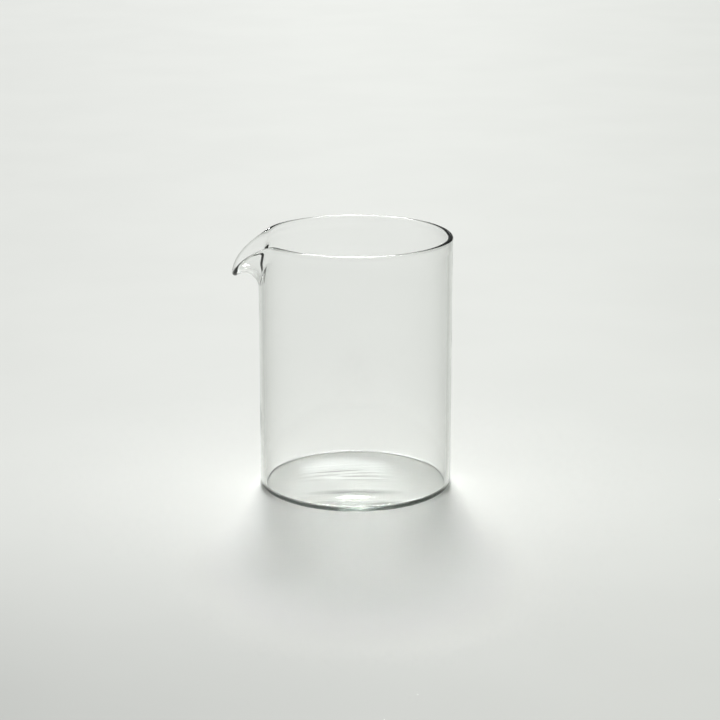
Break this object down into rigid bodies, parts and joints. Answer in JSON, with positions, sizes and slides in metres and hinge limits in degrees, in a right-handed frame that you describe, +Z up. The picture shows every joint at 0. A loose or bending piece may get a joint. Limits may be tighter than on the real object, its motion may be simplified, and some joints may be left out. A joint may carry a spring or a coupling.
{
  "type": "glass cream jug",
  "caption": "Small straight-sided clear glass cream jug with a pulled pouring lip, no handle, empty.",
  "frame": {"origin": "centre of the resting ring under the base, on the jug's axis, on the table surface", "axes": "+Z up along the jug's axis; the pouring lip points along -X; Y is across the jug"},
  "size_m": [0.0728, 0.0644, 0.0853],
  "materials": {
    "jug": "clear, polished"
  },
  "bodies": {
    "root": {"jug": "jug"}
  },
  "joints": []
}
